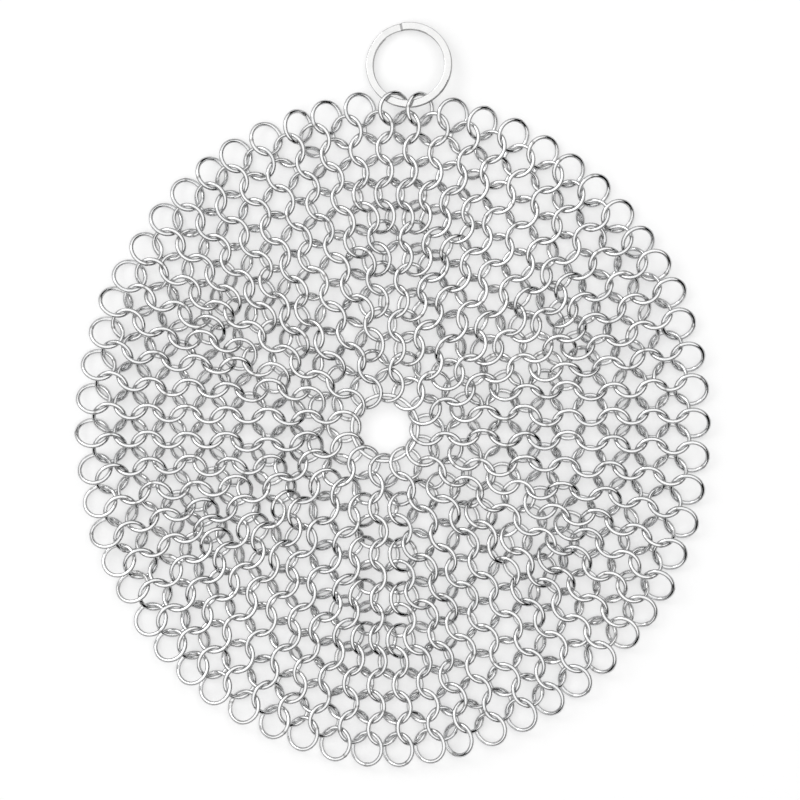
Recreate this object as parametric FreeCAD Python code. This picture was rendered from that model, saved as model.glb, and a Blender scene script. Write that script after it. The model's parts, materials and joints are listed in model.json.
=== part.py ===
"""Round chain-mail pot scrubber.

Steel wire rings are woven four-in-one in rows round a larger centre ring, and two rings of
the outermost row carry a flat-wire split ring to hang the scrubber by.

Millimetres and degrees. The mail lies flat on Z = 0 with its centre at the origin, and the
split ring lies on the +Y side. Angles round the mail run clockwise from +Y, seen from above.
"""
import FreeCAD
import Part
import math
import os

# Wire rings of the mail
RING_OUTER_DIAMETER = 10.0
WIRE_DIAMETER = 1.15
WIRE_PLAY = 0.10
LEAN = 27.0
LEAN_LEAST = 25.0
LEAN_MOST = 42.0
HANGER_LEAN = 40.0
HANGER_PULL = 0.97
HANGER_PLAY = 0.50

# Weave: each course is two rows with the same count, and grows by two rings at every seam
SEAMS = 6
COURSES = 7
FULL_COUNT = 60

# Outline of the mail as it lies: longer than wide, and farther out on the right of the centre ring
OVAL = 0.03
OFF_CENTRE = 3.0

# Lines, left and right of the middle, where the mail folds, and the room its wires have there
FOLD_LINES = (22.0, 45.0, 68.0)
FOLD_PLAY = 0.80

# Split ring: two turns of flat wire, joined by a step
SPLIT_OUTER_DIAMETER = 24.0
SPLIT_BAND_WIDTH = 2.1
SPLIT_TURN_THICKNESS = 0.85
SPLIT_TURN_GAP = 0.10
SPLIT_EDGE_RADIUS = 0.3
SPLIT_STEP_AT = 28.0
SPLIT_STEP_ARC = 26.0
SPLIT_END_GAP = 3.0
SPLIT_SLACK = 0.9
SPLIT_DROP = 0.2
SPLIT_PLAY = 0.35
SPLIT_ROLL = 7.0

# Effort spent on laying out and settling the rings
LAY_ROUNDS = 30
STRETCH_ROUNDS = 60
SETTLE_ROUNDS = 240
SINK_ROUNDS = 40
WATCH_ROUNDS = 5
WATCH_REACH = 1.3
EVENING = 0.05
ROUNDING = 0.15
SINK_STEP = 0.02
REFINE_ROUNDS = 4
REFINE_SHARE = 0.3
TINY = 1e-9

# Worked out from the sizes above
RING_RADIUS = (RING_OUTER_DIAMETER - WIRE_DIAMETER) / 2
WIRE_RADIUS = WIRE_DIAMETER / 2
NEED = WIRE_DIAMETER + WIRE_PLAY
FOLD_NEED = WIRE_DIAMETER + FOLD_PLAY
LEAN_COSINE = math.cos(math.radians(LEAN))
LINK_REACH = 2 * RING_RADIUS - NEED / 0.9
STRANGER_REACH = RING_OUTER_DIAMETER - 0.6 * WIRE_DIAMETER
SLIDE_PAST = 2.2 * WIRE_DIAMETER
NEAR_IN_PLAN = 1.3 * RING_OUTER_DIAMETER
ROW_GAP_MOST = 1.42 * RING_RADIUS
ROW_PITCH_MOST = 1.96 * RING_RADIUS
ROW_PULL = 0.99
SINGLE_GAP = 1.54 * RING_RADIUS
FIRST_PITCH = 1.325 * RING_RADIUS
EYE_OFFSET = 0.45 * RING_RADIUS
EVEN_PITCH = 1.58 * RING_RADIUS
LEAN_SLOPE = 20.0 / RING_RADIUS
SPLIT_MEAN_RADIUS = (SPLIT_OUTER_DIAMETER - SPLIT_BAND_WIDTH) / 2
SPLIT_STEP_RISE = SPLIT_TURN_THICKNESS + SPLIT_TURN_GAP
SPLIT_HEIGHT = SPLIT_TURN_THICKNESS + SPLIT_STEP_RISE
SPLIT_ROUND = min(SPLIT_EDGE_RADIUS, 0.45 * SPLIT_TURN_THICKNESS, 0.45 * SPLIT_BAND_WIDTH)
SPLIT_HALF_BAND = math.hypot(SPLIT_BAND_WIDTH / 2 - SPLIT_ROUND, SPLIT_HEIGHT / 2 - SPLIT_ROUND) + SPLIT_ROUND
SPLIT_NEED = WIRE_RADIUS + SPLIT_HALF_BAND + SPLIT_PLAY

SAMPLES = 24
SAMPLE_STEP = 2 * math.pi / SAMPLES
SAMPLE_DIRECTIONS = [(math.cos(i * SAMPLE_STEP), math.sin(i * SAMPLE_STEP)) for i in range(SAMPLES)]


class Ring:
    """One welded wire ring: its row, its centre, the way it faces and the rings it hangs on."""

    def __init__(self, row, angle, distance, carriers):
        self.row = row
        self.radius = RING_RADIUS
        self.fixed = False
        self.strip = 0
        self.hanger = False
        self.carriers = carriers
        self.centre = [distance * math.sin(angle), distance * math.cos(angle), 0.0]
        self.face((0.0, 0.0, 1.0))

    def face(self, normal):
        """Turn the ring to face along a vector and find two directions in its plane."""
        size = math.sqrt(sum(value * value for value in normal))
        x, y, z = (value / size for value in normal)
        self.normal = (x, y, z)
        flat = math.hypot(x, y)
        self.across = (-y / flat, x / flat, 0.0) if flat > TINY else (1.0, 0.0, 0.0)
        self.along = cross(self.normal, self.across)

    def angle(self):
        return math.atan2(self.centre[0], self.centre[1])

    def distance(self):
        return math.hypot(self.centre[0], self.centre[1])

    def move_out(self, factor):
        self.centre[0] *= factor
        self.centre[1] *= factor

    def move_round(self, angle):
        distance = self.distance()
        at = self.angle() + angle
        self.centre[0] = distance * math.sin(at)
        self.centre[1] = distance * math.cos(at)

    def keep_off_floor(self):
        reach = self.radius * math.sqrt(max(0.0, 1 - self.normal[2] ** 2))
        self.centre[2] = max(self.centre[2], reach + WIRE_RADIUS)


def cross(u, v):
    return (u[1] * v[2] - u[2] * v[1], u[2] * v[0] - u[0] * v[2], u[0] * v[1] - u[1] * v[0])


def dot(u, v):
    return u[0] * v[0] + u[1] * v[1] + u[2] * v[2]


def middle_angle(a, b):
    return math.atan2(a.centre[0] + b.centre[0], a.centre[1] + b.centre[1])


def mean_distance(row):
    return sum(ring.distance() for ring in row) / len(row)


def row_counts():
    """Rings in each row from the middle out, two rows to a course."""
    growth = 2 * SEAMS
    return [min(growth * (course + 1), FULL_COUNT) for course in range(COURSES) for _ in range(2)]


def new_row(number, count, inner):
    """The next row out: a ring between every two of the inner row, taut on both.

    Where the count grows, the two rings beside each seam also carry a ring of their own.
    """
    row = []
    grows = count > len(inner)
    per_sector = len(inner) // SEAMS
    widest = ROW_PITCH_MOST * count / (2 * math.pi)
    for j, ring in enumerate(inner):
        other = inner[j - 1] if number % 2 else inner[(j + 1) % len(inner)]
        between = math.hypot(ring.centre[0] + other.centre[0], ring.centre[1] + other.centre[1]) / 2
        half = math.dist(ring.centre, other.centre) / 2
        taut = math.sqrt(max(RING_RADIUS ** 2 / 2, LINK_REACH ** 2 - (half / LEAN_COSINE) ** 2))
        distance = between + min(ROW_GAP_MOST, ROW_PULL * taut)
        if count < FULL_COUNT:
            distance = min(distance, widest)
        row.append(Ring(number, middle_angle(ring, other), distance, [ring, other]))
        if grows and j % per_sector in (0, per_sector - 1):
            row.append(Ring(number, ring.angle(), ring.distance() + SINGLE_GAP, [ring]))
    return row


def taut_on_carriers(ring, pull):
    """Pull a ring out from the two rings it hangs on, to a share of the farthest it can go."""
    a, b = ring.carriers
    half = math.dist(a.centre, b.centre) / 2
    taut = math.sqrt(LINK_REACH ** 2 - (half / LEAN_COSINE) ** 2)
    middle = math.hypot(a.centre[0] + b.centre[0], a.centre[1] + b.centre[1]) / 2
    ring.move_out((middle + pull * taut) / ring.distance())


def flat_limits(rows):
    """Pairs of rings near each other in plan, each with the limit on their spacing."""
    limits = []
    for k, row in enumerate(rows[1:], 1):
        for ring in row:
            for carrier in ring.carriers:
                limits.append((ring, carrier, "linked"))
            for back, kind in ((1, "strangers"), (2, "alike")):
                if k < back:
                    continue
                for other in rows[k - back]:
                    apart = max(abs(ring.centre[0] - other.centre[0]), abs(ring.centre[1] - other.centre[1]))
                    if apart < NEAR_IN_PLAN and other not in ring.carriers:
                        limits.append((ring, other, kind))
    return limits


def hold_limit(ring, other, kind):
    """Bring two rings back within the limit on their spacing in plan."""
    dx = ring.centre[0] - other.centre[0]
    dy = ring.centre[1] - other.centre[1]
    distance = ring.distance()
    side = (dx * ring.centre[1] - dy * ring.centre[0]) / distance
    if kind == "linked":
        out = (dx * ring.centre[0] + dy * ring.centre[1]) / distance
        spacing = math.hypot(side / LEAN_COSINE, out)
        limit = LINK_REACH
        if spacing <= limit:
            return
    else:
        spacing = math.hypot(dx, dy)
        limit = STRANGER_REACH if kind == "strangers" else RING_OUTER_DIAMETER + WIRE_PLAY
        slides_past = kind == "alike" and abs(side) > SLIDE_PAST
        if spacing >= limit or slides_past:
            return
    push = 0.5 * (limit - spacing) / spacing
    share = 2 if other.row == 1 else 1
    ring.centre[0] += share * push * dx
    ring.centre[1] += share * push * dy
    if other.row > 1:
        other.centre[0] -= push * dx
        other.centre[1] -= push * dy


def spread_in_plan(rows, rounds, evening, oval, shift_right):
    """Even out the rows and bring them to the outline while every link keeps its reach."""
    limits = flat_limits(rows)
    for _ in range(rounds):
        for row in rows[1:]:
            shifts = []
            for j, ring in enumerate(row):
                goal = middle_angle(row[j - 1], row[(j + 1) % len(row)])
                turn = (goal - ring.angle() + math.pi) % (2 * math.pi) - math.pi
                shifts.append(evening * turn)
            mean = mean_distance(row)
            share = row[0].row / (2 * COURSES)
            for ring, shift in zip(row, shifts):
                ring.move_round(shift)
                distance = ring.distance()
                angle = ring.angle()
                wanted = mean * (1 + share * oval * math.cos(2 * angle))
                wanted += share ** 2 * shift_right * math.sin(angle)
                ring.move_out(1 + share ** 2 * ROUNDING * (wanted - distance) / distance)
        for ring, other, kind in limits:
            hold_limit(ring, other, kind)


def lean_rings(rows):
    """Lean the rings of each row along the row, the other way from the rows beside it."""
    for row in rows:
        for j, ring in enumerate(row):
            before = row[j - 1].centre
            after = row[(j + 1) % len(row)].centre
            tx, ty = after[0] - before[0], after[1] - before[1]
            size = math.hypot(tx, ty)
            lean = LEAN + LEAN_SLOPE * (EVEN_PITCH - size / 2)
            lean = HANGER_LEAN if ring.hanger else max(LEAN_LEAST, min(LEAN_MOST, lean))
            lean = math.radians(lean)
            flat = math.sin(lean) / size * (-1 if ring.row % 2 else 1)
            ring.face((flat * tx, flat * ty, math.cos(lean)))
            ring.centre[2] = RING_RADIUS * math.sin(lean) + WIRE_RADIUS


def close_places(a, b, reach):
    """Where the centre line of ring a comes within reach of that of ring b.

    Each place is the distance, the point on a and the point on b.
    """
    offset = [a.centre[k] - b.centre[k] for k in range(3)]
    span = dot(offset, offset)
    if span > (a.radius + b.radius + reach) ** 2:
        return []
    rise = dot(offset, b.normal)
    rise_c = a.radius * dot(a.across, b.normal)
    rise_s = a.radius * dot(a.along, b.normal)
    far = span + a.radius ** 2
    far_c = 2 * a.radius * dot(offset, a.across)
    far_s = 2 * a.radius * dot(offset, a.along)

    def square(c, s):
        height = rise + rise_c * c + rise_s * s
        flat = far + far_c * c + far_s * s - height * height
        gap = math.sqrt(max(flat, 0.0)) - b.radius
        return height * height + gap * gap

    squares = [square(c, s) for c, s in SAMPLE_DIRECTIONS]
    most = (reach + a.radius * SAMPLE_STEP) ** 2
    places = []
    for i, here in enumerate(squares):
        before, after = squares[i - 1], squares[(i + 1) % SAMPLES]
        if here > most or here > before or here >= after:
            continue
        at, step = i * SAMPLE_STEP, SAMPLE_STEP
        for _ in range(REFINE_ROUNDS):
            bend = before - 2 * here + after
            shift = 0.5 * (before - after) / bend if bend > TINY else 0.0
            at += step * max(-1.0, min(1.0, shift))
            step *= REFINE_SHARE
            before, here, after = (square(math.cos(t), math.sin(t)) for t in (at - step, at, at + step))
        if here < reach * reach:
            c, s = math.cos(at), math.sin(at)
            p = [a.centre[k] + a.radius * (c * a.across[k] + s * a.along[k]) for k in range(3)]
            arm = [p[k] - b.centre[k] for k in range(3)]
            height = dot(arm, b.normal)
            flat = [arm[k] - height * b.normal[k] for k in range(3)]
            size = math.sqrt(dot(flat, flat))
            q = [b.centre[k] + b.radius * flat[k] / size for k in range(3)]
            places.append((math.sqrt(here), p, q))
    return places


def ease_apart(a, b, need):
    """Shift and tip two rings, as loose wire rings do, until their wires have room."""
    if a.fixed and b.fixed:
        return
    for gap, p, q in close_places(a, b, need):
        away = [(p[k] - q[k]) / max(gap, TINY) for k in range(3)]
        arms = []
        give = 0.0
        for ring, point in ((a, p), (b, q)):
            arm = cross([point[k] - ring.centre[k] for k in range(3)], away)
            inertia = ring.radius ** 2 / 2
            arms.append([value / inertia for value in arm])
            give += 0.0 if ring.fixed else 1 + dot(arm, arm) / inertia
        push = (need - gap) / give
        for ring, arm, way in ((a, arms[0], push), (b, arms[1], -push)):
            if ring.fixed:
                continue
            tip = cross(arm, ring.normal)
            for k in range(3):
                ring.centre[k] += way * away[k]
            ring.face([ring.normal[k] + way * tip[k] for k in range(3)])


def neighbours(rings):
    """Pairs of rings close enough to touch."""
    reach = RING_OUTER_DIAMETER + FOLD_PLAY
    cells = {}
    for i, ring in enumerate(rings):
        cell = (math.floor(ring.centre[0] / reach), math.floor(ring.centre[1] / reach))
        cells.setdefault(cell, []).append(i)
    pairs = []
    for (cx, cy), members in cells.items():
        around = [j for ox in (-1, 0, 1) for oy in (-1, 0, 1) for j in cells.get((cx + ox, cy + oy), ())]
        for i in members:
            for j in around:
                if i < j and math.dist(rings[i].centre, rings[j].centre) < reach:
                    pairs.append((rings[i], rings[j]))
    return pairs


def room_between(a, b):
    """Least distance between the centre lines of two rings."""
    if a.hanger != b.hanger:
        return WIRE_DIAMETER + HANGER_PLAY
    return NEED if a.strip == b.strip else FOLD_NEED


def settle(rows, eye, split):
    """Let the rings sink onto the floor and work apart until every wire has its room."""
    rings = [ring for row in rows for ring in row]
    for turn in range(SETTLE_ROUNDS):
        if turn % WATCH_ROUNDS == 0:
            near = neighbours(rings)
            pairs = [(a, b) for a, b in near if close_places(a, b, WATCH_REACH * room_between(a, b))]
        if turn < SINK_ROUNDS:
            for ring in rings:
                ring.centre[2] -= SINK_STEP
        for a, b in pairs:
            ease_apart(a, b, room_between(a, b))
        for ring in rows[0]:
            ease_apart(ring, eye, NEED)
        for ring in rows[-1] + rows[-2]:
            ease_apart(ring, split, SPLIT_NEED)
        for ring in rings:
            ring.keep_off_floor()


def strip_of(x):
    """Which strip between fold lines a place belongs to: 0 in the middle, left below, right above."""
    crossed = sum(abs(x) > line for line in FOLD_LINES)
    return crossed if x > 0 else -crossed


def centre_eye(distance):
    """The larger ring in the middle, which the first row hangs on."""
    eye = Ring(0, 0.0, 0.0, [])
    eye.radius = distance - EYE_OFFSET
    eye.fixed = True
    eye.centre[2] = RING_RADIUS * math.sin(math.radians(LEAN)) + WIRE_RADIUS
    return eye


def middle_of_split(hangers):
    """The middle line of the split ring: through both hangers, and on the floor at its far side."""
    split = Ring(0, 0.0, 0.0, [])
    split.radius = SPLIT_MEAN_RADIUS
    split.fixed = True
    near = [sum(ring.centre[k] for ring in hangers) / len(hangers) for k in range(3)]
    rise = max(0.0, near[2] - SPLIT_DROP - SPLIT_HEIGHT / 2)
    slope = rise / (SPLIT_MEAN_RADIUS + SPLIT_OUTER_DIAMETER / 2)
    split.face((-math.sin(math.radians(SPLIT_ROLL)), slope, 1.0))
    steepness = math.sqrt(1 - split.normal[2] ** 2)
    height = SPLIT_HEIGHT / 2 * split.normal[2] + SPLIT_OUTER_DIAMETER / 2 * steepness
    split.centre = [near[0], near[1] + SPLIT_SLACK + SPLIT_MEAN_RADIUS, height]
    return split


def weave():
    """The rows of rings from the middle out, the centre ring and the split ring's middle line."""
    counts = row_counts()
    first_distance = counts[0] * FIRST_PITCH / (2 * math.pi)
    rows = [[Ring(1, 2 * math.pi * j / counts[0], first_distance, []) for j in range(counts[0])]]
    for k, count in enumerate(counts[1:], 1):
        rows.append(new_row(k + 1, count, rows[-1]))
        spread_in_plan(rows, LAY_ROUNDS, EVENING, 0.0, 0.0)
    for row in rows:
        for ring in row:
            share = ring.row / len(rows)
            ring.centre[0] = ring.centre[0] * (1 - OVAL * share) + OFF_CENTRE * share ** 2
            ring.centre[1] *= 1 + OVAL * share
    spread_in_plan(rows, STRETCH_ROUNDS, EVENING, OVAL, OFF_CENTRE)
    spread_in_plan(rows, LAY_ROUNDS, 0.0, OVAL, OFF_CENTRE)
    for ring in (rows[-1][0], rows[-1][-1]):
        ring.hanger = True
        taut_on_carriers(ring, HANGER_PULL)
    for row in rows:
        for ring in row:
            ring.strip = strip_of(ring.centre[0])
    lean_rings(rows)
    eye = centre_eye(first_distance)
    split = middle_of_split([ring for ring in rows[-1] if ring.hanger])
    settle(rows, eye, split)
    return rows, eye, split


def wire_ring(ring):
    return Part.makeTorus(ring.radius, WIRE_RADIUS, FreeCAD.Vector(*ring.centre), FreeCAD.Vector(*ring.normal))


def band_section(height):
    """Section of the flat wire at angle 0: a rectangle with rounded edges, in the XZ plane."""
    inner = SPLIT_MEAN_RADIUS - SPLIT_BAND_WIDTH / 2
    outer = SPLIT_MEAN_RADIUS + SPLIT_BAND_WIDTH / 2
    top = height + SPLIT_TURN_THICKNESS
    r = SPLIT_ROUND
    corners = (
        (inner + r, height + r, 180), (outer - r, height + r, 270),
        (outer - r, top - r, 0), (inner + r, top - r, 90))
    edges = []
    ends = []
    for x, z, start in corners:
        points = []
        for turn in (0, 45, 90):
            a = math.radians(start + turn)
            points.append(FreeCAD.Vector(x + r * math.cos(a), 0, z + r * math.sin(a)))
        ends.append((points[0], points[2]))
        edges.append(Part.Arc(*points).toShape())
    for k in range(4):
        edges.append(Part.makeLine(ends[k][1], ends[(k + 1) % 4][0]))
    return Part.Wire(Part.__sortEdges__(edges))


def split_ring(line):
    """Two turns of flat wire: the lower turn, the step up and the upper turn, as one solid."""
    up = FreeCAD.Vector(0, 0, 1)
    middle = FreeCAD.Vector(0, 0, 0)
    flat_arc = 360 - SPLIT_STEP_ARC - SPLIT_END_GAP
    lower = Part.Face(band_section(0.0)).revolve(middle, up, -flat_arc)
    upper = Part.Face(band_section(SPLIT_STEP_RISE)).revolve(middle, up, flat_arc)
    upper.rotate(middle, up, SPLIT_STEP_ARC)
    pitch = SPLIT_STEP_RISE * 360 / SPLIT_STEP_ARC
    path = Part.Wire(Part.makeHelix(pitch, SPLIT_STEP_RISE, SPLIT_MEAN_RADIUS).Edges)
    step = Part.BRepOffsetAPI.MakePipeShell(path)
    step.setFrenetMode(True)
    step.setBiNormalMode(up)
    step.add(band_section(0.0))
    step.build()
    step.makeSolid()
    ring = lower.fuse([step.shape(), upper]).removeSplitter()
    ring.rotate(middle, up, 90 + SPLIT_STEP_AT - SPLIT_STEP_ARC / 2)
    ring.translate(FreeCAD.Vector(0, 0, -SPLIT_HEIGHT / 2))
    turn = FreeCAD.Rotation(up, FreeCAD.Vector(*line.normal))
    ring.Placement = FreeCAD.Placement(FreeCAD.Vector(*line.centre), turn).multiply(ring.Placement)
    return ring


def node_name(ring):
    side = "left" if ring.strip < 0 else "right"
    strip = "centre" if ring.strip == 0 else "%s_%d" % (side, abs(ring.strip))
    return "course_%d_%s" % ((ring.row + 1) // 2, strip)


def main():
    os.makedirs("parts", exist_ok=True)
    rows, eye, split = weave()
    rings = [ring for row in rows for ring in row]
    hangers = [ring for ring in rings if ring.hanger]
    groups = {"centre_ring": [eye], "hanger_links": hangers}
    for ring in rings:
        if not ring.hanger:
            groups.setdefault(node_name(ring), []).append(ring)
    nodes = {name: Part.makeCompound([wire_ring(ring) for ring in group]) for name, group in groups.items()}
    nodes["split_ring"] = split_ring(split)
    for name, shape in nodes.items():
        shape.exportStep("parts/%s.step" % name)
    gaps = [place[0] - WIRE_DIAMETER for a, b in neighbours(rings) for place in close_places(a, b, FOLD_NEED)]
    print("rings", len(rings), "nodes", len(nodes), "least gap between wires %.3f" % min(gaps))


main()
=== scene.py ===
"""Looks of the round chain-mail pot scrubber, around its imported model. Metres, +Z up."""

import json
import math

import bpy
import numpy as np
from mathutils import Matrix, Vector

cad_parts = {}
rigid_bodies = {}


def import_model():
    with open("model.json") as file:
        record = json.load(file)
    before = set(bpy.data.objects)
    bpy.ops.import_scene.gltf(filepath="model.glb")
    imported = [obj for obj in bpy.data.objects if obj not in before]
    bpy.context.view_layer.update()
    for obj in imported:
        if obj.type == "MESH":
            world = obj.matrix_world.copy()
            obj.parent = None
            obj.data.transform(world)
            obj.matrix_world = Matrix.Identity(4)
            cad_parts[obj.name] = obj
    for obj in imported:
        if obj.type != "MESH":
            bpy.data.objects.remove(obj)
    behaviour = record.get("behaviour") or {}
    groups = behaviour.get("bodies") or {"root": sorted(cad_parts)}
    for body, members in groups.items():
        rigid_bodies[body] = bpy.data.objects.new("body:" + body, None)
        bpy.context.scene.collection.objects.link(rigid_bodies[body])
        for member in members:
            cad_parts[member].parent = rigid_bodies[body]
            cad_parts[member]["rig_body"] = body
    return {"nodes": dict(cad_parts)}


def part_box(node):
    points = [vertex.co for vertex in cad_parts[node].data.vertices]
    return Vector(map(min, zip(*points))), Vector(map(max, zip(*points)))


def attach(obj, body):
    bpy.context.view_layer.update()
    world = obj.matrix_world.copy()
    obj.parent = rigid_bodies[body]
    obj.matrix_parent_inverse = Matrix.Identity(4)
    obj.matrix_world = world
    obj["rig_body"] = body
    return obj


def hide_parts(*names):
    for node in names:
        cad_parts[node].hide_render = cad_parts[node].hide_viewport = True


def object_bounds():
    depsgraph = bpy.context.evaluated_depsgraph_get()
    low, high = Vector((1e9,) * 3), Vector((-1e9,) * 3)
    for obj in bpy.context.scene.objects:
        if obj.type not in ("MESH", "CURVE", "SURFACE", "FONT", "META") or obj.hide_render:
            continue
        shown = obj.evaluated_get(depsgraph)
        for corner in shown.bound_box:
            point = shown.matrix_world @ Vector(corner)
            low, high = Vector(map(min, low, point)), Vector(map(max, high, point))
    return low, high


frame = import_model()
cad_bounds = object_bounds()

FULL_TURN = 2 * math.pi
UNIT = (0.0, 1.0)
WHITE = (1.0, 1.0, 1.0, 1.0)

# Wire rings of the mail. The weld's bead is a share of the wire, over angles round the ring
WIRE_DIAMETER = 0.00115
SEGMENTS_ALONG = 46
SEGMENTS_AROUND = 12
BEAD_HEIGHT = 0.04
BEAD_SPREAD = 0.085
BEAD_STEPS = (-0.17, -0.11, -0.055, 0.055, 0.11, 0.17)
SEED = 41

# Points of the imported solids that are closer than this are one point
SAME_PLACE = 2e-7

# Direction that the starting arm of every ring is square to
START_GUIDE = (0.31, 0.52, 0.79)

# Both metals: tint of glancing reflections, and the clouds that dull them
EDGE_TINT = (0.03, 0.03, 0.03, 1.0)
CLOUD_DETAIL = 4.0
ROUGH_CLOUD = (0.3, 0.8)

# Stainless wire: its tones, clouds, drawn lines and welds
STEEL_TONES = ((0.71, 0.715, 0.72, 1.0), (0.80, 0.80, 0.80, 1.0))
STEEL_ROUGHNESS = (0.05, 0.14)
STEEL_CLOUDED = (0.60, 0.60, 0.605, 1.0)
STEEL_CLOUD_SCALE = 420.0
STEEL_CLOUD = (0.35, 0.75)
STEEL_CLOUD_SHARE = (0.0, 0.35)
LINE_STRETCH = (9.0, 60.0, 1.0)
LINE_SCALE = 1.0
LINE_DETAIL = 3.0
LINE_ROUGHNESS = 0.05
LINE_STRENGTH = 0.12
LINE_DEPTH = 0.00002
WELD_COLOUR = (0.28, 0.275, 0.27, 1.0)
WELD_SHARE = 0.75
WELD_ROUGHNESS = 0.22

# Plated wire of the split ring: its tones, grain, and the angle round its middle where the wire ends,
# where a painted shade line stands in for the shadow in the step
PLATE_TONES = ((0.73, 0.73, 0.725, 1.0), (0.65, 0.65, 0.65, 1.0))
PLATE_ROUGHNESS = (0.14, 0.30)
PLATE_CLOUD_SCALE = 300.0
PLATE_WEAR = (0.3, 0.75)
GRAIN_SCALE = 2600.0
GRAIN_DETAIL = 2.0
GRAIN_STRENGTH = 0.06
GRAIN_DEPTH = 0.00003
CUT_AT = math.radians(103.5)
# Width, colour and share of the painted shade line across the wire end, standing in for the shadow in the
# step there
CUT_SHADE_SPREAD = math.radians(1.7)
CUT_SHADE_COLOUR = (0.12, 0.12, 0.12, 1.0)
CUT_SHADE_SHARE = 0.6

# Camera: straight above, in pixels of the 800 pixel photograph
IMAGE_SIDE = 800
PIXELS_PER_METRE = 3605.0
ORIGIN_PIXEL = (385.0, 428.0)
TURN = math.radians(2.2)
CAMERA_HEIGHT = 1.1
MAIL_HEIGHT = 0.0035
SENSOR = 36.0

# Sky: a bright cap round an axis, dark below its soft edge
SKY_AXIS = (-0.16, 0.12, 0.98)
SKY_EDGE = (0.45, 0.52)
SKY_STRENGTH = (0.0, 1.3)

# Floor: a flat round middle and a slope that rises to a rim
FLOOR_FLAT = 2.0
FLOOR_REACH = 10.0
FLOOR_RISE = 0.5
FLOOR_SIDES = 96
FLOOR_STEPS = 25
FLOOR_COLOUR = (0.96, 0.96, 0.96, 1.0)
FLOOR_ROUGHNESS = 0.9
FLOOR_WHITE = 0.45

# Lamp
LAMP_WATTS = 2.5
LAMP_SIDE = 0.5
LAMP_PLACE = (-0.8, 0.6, 0.9)

# Sockets of a Mix node that blends colours
MIX_SHARE = 0
MIX_A = 6
MIX_B = 7
MIX_RESULT = 2


def node_body(node):
    return frame["nodes"][node]["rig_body"]


def add_object(name, data):
    made = bpy.data.objects.new(name, data)
    bpy.context.scene.collection.objects.link(made)
    return made


def smooth_mesh(name, points, faces):
    mesh = bpy.data.meshes.new(name)
    mesh.from_pydata(points.tolist(), [], faces)
    mesh.polygons.foreach_set("use_smooth", np.ones(len(mesh.polygons), bool))
    return mesh


def separate_solids(mesh):
    """The corner points of each separate solid of a mesh, as arrays."""
    places = np.empty(len(mesh.vertices) * 3, np.float32)
    mesh.vertices.foreach_get("co", places)
    places = places.reshape(-1, 3).astype(float)
    grid = np.round(places / SAME_PLACE).astype(np.int64)
    _, first, merged = np.unique(grid, axis=0, return_index=True, return_inverse=True)
    merged = merged.reshape(-1)
    ends = np.empty(len(mesh.edges) * 2, np.int32)
    mesh.edges.foreach_get("vertices", ends)
    ends = merged[ends].reshape(-1, 2)
    label = np.arange(len(first))
    while True:
        lower = label.copy()
        least = label[ends].min(axis=1)
        np.minimum.at(lower, ends[:, 0], least)
        np.minimum.at(lower, ends[:, 1], least)
        lower = lower[lower]
        if (lower == label).all():
            break
        label = lower
    return [places[first[label == each]] for each in np.unique(label)]


def ring_lines(node):
    """Centre, normal and radius of the middle line of each ring in a node."""
    lines = []
    for points in separate_solids(frame["nodes"][node].data):
        centre = points.mean(axis=0)
        arms = points - centre
        _, _, directions = np.linalg.svd(arms, full_matrices=False)
        normal = directions[2] * (1 if directions[2][2] >= 0 else -1)
        arms -= np.outer(arms @ normal, normal)
        reach = np.linalg.norm(arms, axis=1)
        lines.append((centre, normal, (reach.min() + reach.max()) / 2))
    return lines


def ring_points(centre, normal, radius, weld_at):
    """Points on one welded ring, and for each row of them its nearness to the weld and share of a turn."""
    turns = [FULL_TURN * k / SEGMENTS_ALONG for k in range(SEGMENTS_ALONG)]
    turns = np.array(sorted(turns + [step % FULL_TURN for step in BEAD_STEPS]))
    from_weld = np.minimum(turns, FULL_TURN - turns)
    weld = np.exp(-((from_weld / BEAD_SPREAD) ** 2))
    across = np.cross(normal, START_GUIDE)
    across /= np.linalg.norm(across)
    along = np.cross(normal, across)
    out = np.outer(np.cos(turns + weld_at), across) + np.outer(np.sin(turns + weld_at), along)
    around = np.arange(SEGMENTS_AROUND) * FULL_TURN / SEGMENTS_AROUND
    wire = WIRE_DIAMETER / 2 * (1 + BEAD_HEIGHT * weld)
    points = (
        centre + radius * out[:, None, :]
        + (wire[:, None] * np.cos(around))[:, :, None] * out[:, None, :]
        + (wire[:, None] * np.sin(around))[:, :, None] * normal)
    return points, weld, turns / FULL_TURN


def grid_faces(rows, columns, first):
    """Four-cornered faces of a grid that closes on itself both ways."""
    row, column = np.meshgrid(np.arange(rows), np.arange(columns), indexing="ij")
    next_row = (row + 1) % rows
    next_column = (column + 1) % columns
    corners = [row * columns + column, next_row * columns + column,
               next_row * columns + next_column, row * columns + next_column]
    return first + np.stack([corner.ravel() for corner in corners], axis=1)


def wire_map(share, columns):
    """Map of one ring's faces: along the wire, then around it."""
    row, column = np.meshgrid(np.arange(len(share)), np.arange(columns), indexing="ij")
    ahead = np.append(share, 1.0)
    u = np.stack([ahead[row], ahead[row + 1], ahead[row + 1], ahead[row]], axis=-1)
    v = np.stack([column, column, column + 1, column + 1], axis=-1) / columns
    return np.stack([u.ravel(), v.ravel()], axis=1)


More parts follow.
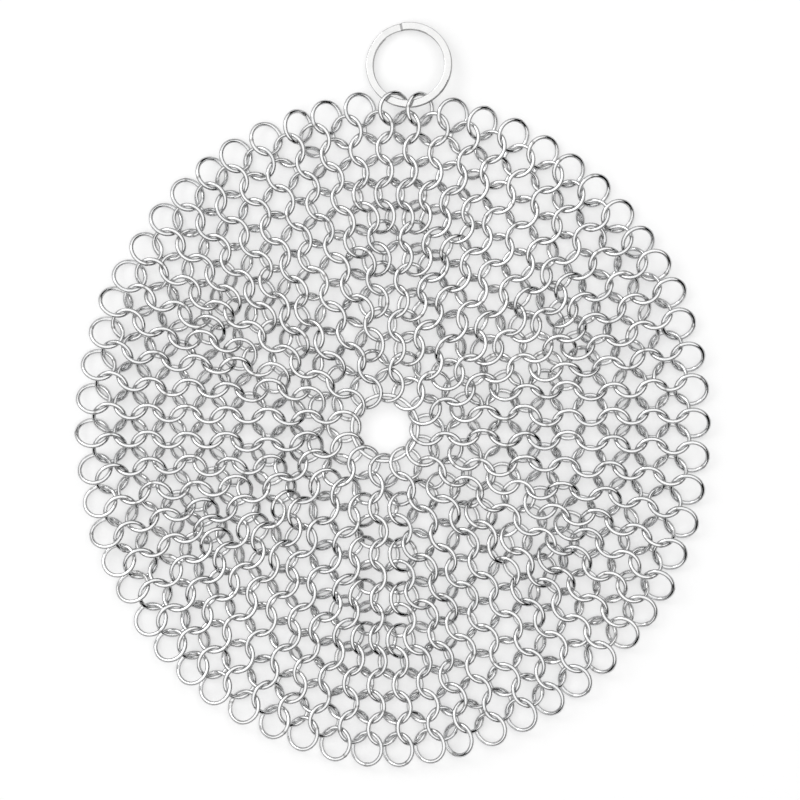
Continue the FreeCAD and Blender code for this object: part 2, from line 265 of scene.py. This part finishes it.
def wire_rings(name, lines, draw):
    """One piece with a welded wire ring on each of the given middle lines."""
    points, faces, maps, welds, tones = [], [], [], [], []
    count = 0
    for centre, normal, radius in lines:
        grid, weld, share = ring_points(centre, normal, radius, draw.uniform(0, FULL_TURN))
        rows, columns = grid.shape[:2]
        points.append(grid.reshape(-1, 3))
        faces.append(grid_faces(rows, columns, count))
        maps.append(wire_map(share, columns))
        welds.append(np.repeat(weld, columns))
        tones.append(np.full(rows * columns, draw.uniform(*UNIT)))
        count += rows * columns
    mesh = smooth_mesh(name, np.concatenate(points), np.concatenate(faces).tolist())
    layer = mesh.uv_layers.new(name="wire")
    layer.data.foreach_set("uv", np.concatenate(maps).astype(np.float32).ravel())
    for label, values in (("weld", welds), ("tone", tones)):
        attribute = mesh.attributes.new(label, "FLOAT", "POINT")
        attribute.data.foreach_set("value", np.concatenate(values).astype(np.float32))
    mesh.validate()
    return add_object(name, mesh)


class Nodes:
    """Short ways to add and join the nodes of one material or world."""

    def __init__(self, owner, shader):
        owner.use_nodes = True
        self.tree = owner.node_tree
        self.shader = self.tree.nodes[shader]

    def feed(self, socket, value):
        """A plain value for a socket, or a link from another node."""
        if isinstance(value, bpy.types.NodeSocket):
            self.tree.links.new(value, socket)
        else:
            socket.default_value = value

    def drive(self, name, value):
        self.feed(self.shader.inputs[name], value)

    def add(self, kind, inputs=(), **settings):
        node = self.tree.nodes.new("ShaderNode" + kind)
        for key, value in settings.items():
            setattr(node, key, value)
        for key, value in dict(inputs).items():
            self.feed(node.inputs[key], value)
        return node

    def calculate(self, operation, *values):
        return self.add("Math", dict(enumerate(values)), operation=operation).outputs["Value"]

    def spread(self, value, limits, results, **settings):
        """A value between two limits, moved to between two results."""
        given = {"Value": value, "From Min": limits[0], "From Max": limits[1],
                 "To Min": results[0], "To Max": results[1]}
        return self.add("MapRange", given, **settings).outputs["Result"]

    def mix(self, share, a, b):
        """Colour a, with a share of colour b."""
        given = {MIX_SHARE: share, MIX_A: a, MIX_B: b}
        return self.add("Mix", given, data_type="RGBA").outputs[MIX_RESULT]

    def noise(self, place, scale, detail):
        given = {"Vector": place, "Scale": scale, "Detail": detail}
        return self.add("TexNoise", given).outputs["Fac"]

    def bump(self, height, strength, depth):
        given = {"Height": height, "Strength": strength, "Distance": depth}
        self.drive("Normal", self.add("Bump", given).outputs["Normal"])


def bare_metal(name):
    material = bpy.data.materials.new(name)
    nodes = Nodes(material, "Principled BSDF")
    nodes.drive("Metallic", 1.0)
    nodes.drive("Specular Tint", EDGE_TINT)
    return material, nodes


def polished_wire(name):
    """Drawn and tumbled stainless wire: fine lines along the wire, and a dull grey weld on each ring."""
    material, nodes = bare_metal(name)
    where = nodes.add("UVMap", uv_map="wire").outputs["UV"]
    place = nodes.add("TexCoord").outputs["Object"]
    weld = nodes.add("Attribute", attribute_name="weld").outputs["Fac"]
    tone = nodes.add("Attribute", attribute_name="tone").outputs["Fac"]
    along = nodes.add("Mapping", {"Vector": where, "Scale": LINE_STRETCH}).outputs["Vector"]
    lines = nodes.noise(along, LINE_SCALE, LINE_DETAIL)
    cloud = nodes.noise(place, STEEL_CLOUD_SCALE, CLOUD_DETAIL)
    bright = nodes.mix(tone, *STEEL_TONES)
    patchy = nodes.mix(nodes.spread(cloud, STEEL_CLOUD, STEEL_CLOUD_SHARE), bright, STEEL_CLOUDED)
    welded = nodes.mix(nodes.calculate("MULTIPLY", weld, WELD_SHARE), patchy, WELD_COLOUR)
    nodes.drive("Base Color", welded)
    rough = nodes.spread(cloud, ROUGH_CLOUD, STEEL_ROUGHNESS)
    for cause, share in ((lines, LINE_ROUGHNESS), (weld, WELD_ROUGHNESS)):
        rough = nodes.calculate("ADD", rough, nodes.calculate("MULTIPLY", cause, share))
    nodes.drive("Roughness", rough)
    nodes.bump(lines, LINE_STRENGTH, LINE_DEPTH)
    return material


def plated_flat_wire(name):
    """Bright plated flat wire, lightly worn in patches, with a painted shade line where the wire ends."""
    material, nodes = bare_metal(name)
    place = nodes.add("TexCoord").outputs["Object"]
    cloud = nodes.noise(place, PLATE_CLOUD_SCALE, CLOUD_DETAIL)
    grain = nodes.noise(place, GRAIN_SCALE, GRAIN_DETAIL)
    plain = nodes.mix(nodes.spread(cloud, PLATE_WEAR, UNIT), *PLATE_TONES)
    low, high = (Vector(corner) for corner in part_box("split_ring"))
    arm = nodes.add("VectorMath", {0: place, 1: (low + high) / 2}, operation="SUBTRACT").outputs["Vector"]
    parts = nodes.add("SeparateXYZ", {0: arm}).outputs
    angle = nodes.calculate("ARCTAN2", parts["Y"], parts["X"])
    # Painted shade: a dark line across the wire where it ends, in place of the shadow in the step
    cut_shade = nodes.calculate("COMPARE", angle, CUT_AT, CUT_SHADE_SPREAD)
    nodes.drive("Base Color", nodes.mix(nodes.calculate("MULTIPLY", cut_shade, CUT_SHADE_SHARE), plain, CUT_SHADE_COLOUR))
    nodes.drive("Roughness", nodes.spread(cloud, ROUGH_CLOUD, PLATE_ROUGHNESS))
    nodes.bump(grain, GRAIN_STRENGTH, GRAIN_DEPTH)
    return material


def dress_mail(draw):
    """Every mail node and the centre ring as detailed welded rings."""
    wire = polished_wire("stainless_wire")
    for node in sorted(frame["nodes"]):
        if node == "split_ring":
            continue
        piece = wire_rings(node + "_wire", ring_lines(node), draw)
        piece.data.materials.append(wire)
        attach(piece, node_body(node))
        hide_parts(node)


def dress_split_ring():
    ring = frame["nodes"]["split_ring"]
    ring.data.materials.clear()
    ring.data.materials.append(plated_flat_wire("split_ring_plating"))


def floor_mesh():
    """A round card, flat under the mail, that curves up to a low rim far from it."""
    turns = np.arange(FLOOR_SIDES) * FULL_TURN / FLOOR_SIDES
    share = np.linspace(*UNIT, FLOOR_STEPS)[:, None]
    reach = FLOOR_FLAT + (FLOOR_REACH - FLOOR_FLAT) * share
    rise = FLOOR_RISE * share ** 2 * np.ones(FLOOR_SIDES)
    points = np.stack([reach * np.cos(turns), reach * np.sin(turns), rise], axis=-1)
    middle = [list(range(FLOOR_SIDES))]
    slope = grid_faces(FLOOR_STEPS, FLOOR_SIDES, 0)[:-FLOOR_SIDES]
    return smooth_mesh("floor", points.reshape(-1, 3), middle + slope.tolist())


def white_card():
    """Matt white, part of it full white to the camera and to what mirrors or shows it."""
    material = bpy.data.materials.new("white_card")
    nodes = Nodes(material, "Principled BSDF")
    nodes.drive("Base Color", FLOOR_COLOUR)
    nodes.drive("Roughness", FLOOR_ROUGHNESS)
    nodes.drive("Specular IOR Level", 0.0)
    rays = nodes.add("LightPath").outputs
    mirrored = nodes.calculate("ADD", rays["Is Glossy Ray"], rays["Is Transmission Ray"])
    seen = nodes.calculate("ADD", rays["Is Camera Ray"], mirrored)
    share = nodes.spread(seen, UNIT, (0.0, FLOOR_WHITE))
    white = nodes.add("Emission", {"Color": WHITE, "Strength": 1.0}).outputs["Emission"]
    both = nodes.add("MixShader", {0: share, 1: nodes.shader.outputs["BSDF"], 2: white}).outputs["Shader"]
    nodes.feed(nodes.tree.nodes["Material Output"].inputs["Surface"], both)
    return material


def make_floor():
    floor = add_object("floor", floor_mesh())
    floor.location.z = cad_bounds[0].z
    floor.data.materials.append(white_card())


def make_sky():
    """A light tent: bright overhead, dark at its sides."""
    world = bpy.data.worlds.new("tent")
    nodes = Nodes(world, "Background")
    where = nodes.add("TexCoord").outputs["Generated"]
    height = nodes.add("VectorMath", {0: where, 1: SKY_AXIS}, operation="DOT_PRODUCT").outputs["Value"]
    nodes.drive("Strength", nodes.spread(height, SKY_EDGE, SKY_STRENGTH, interpolation_type="SMOOTHSTEP"))
    nodes.drive("Color", WHITE)
    bpy.context.scene.world = world


def make_lamp():
    light = bpy.data.lights.new("soft_box", "AREA")
    light.energy = LAMP_WATTS
    light.size = LAMP_SIDE
    lamp = add_object("soft_box", light)
    lamp.location = LAMP_PLACE
    lamp.rotation_euler = (-Vector(LAMP_PLACE)).to_track_quat("-Z", "Y").to_euler()


def make_camera():
    """Straight above, turned and placed so that the mail lies where the photograph has it."""
    right = Vector((math.cos(TURN), math.sin(TURN), 0.0))
    up = Vector((-math.sin(TURN), math.cos(TURN), 0.0))
    back = Vector((0.0, 0.0, 1.0))
    across = (IMAGE_SIDE / 2 - ORIGIN_PIXEL[0]) / PIXELS_PER_METRE
    above = (ORIGIN_PIXEL[1] - IMAGE_SIDE / 2) / PIXELS_PER_METRE
    data = bpy.data.cameras.new("camera")
    data.sensor_width = SENSOR
    data.lens = SENSOR * (CAMERA_HEIGHT - MAIL_HEIGHT) * PIXELS_PER_METRE / IMAGE_SIDE
    camera = add_object("camera", data)
    place = right * across + up * above + back * CAMERA_HEIGHT
    turn = Matrix((right, up, back)).transposed()
    camera.matrix_world = Matrix.Translation(place) @ turn.to_4x4()
    bpy.context.scene.camera = camera


def main():
    dress_mail(np.random.default_rng(SEED))
    dress_split_ring()
    make_floor()
    make_sky()
    make_lamp()
    make_camera()
    bpy.context.scene.view_settings.view_transform = "Standard"


main()
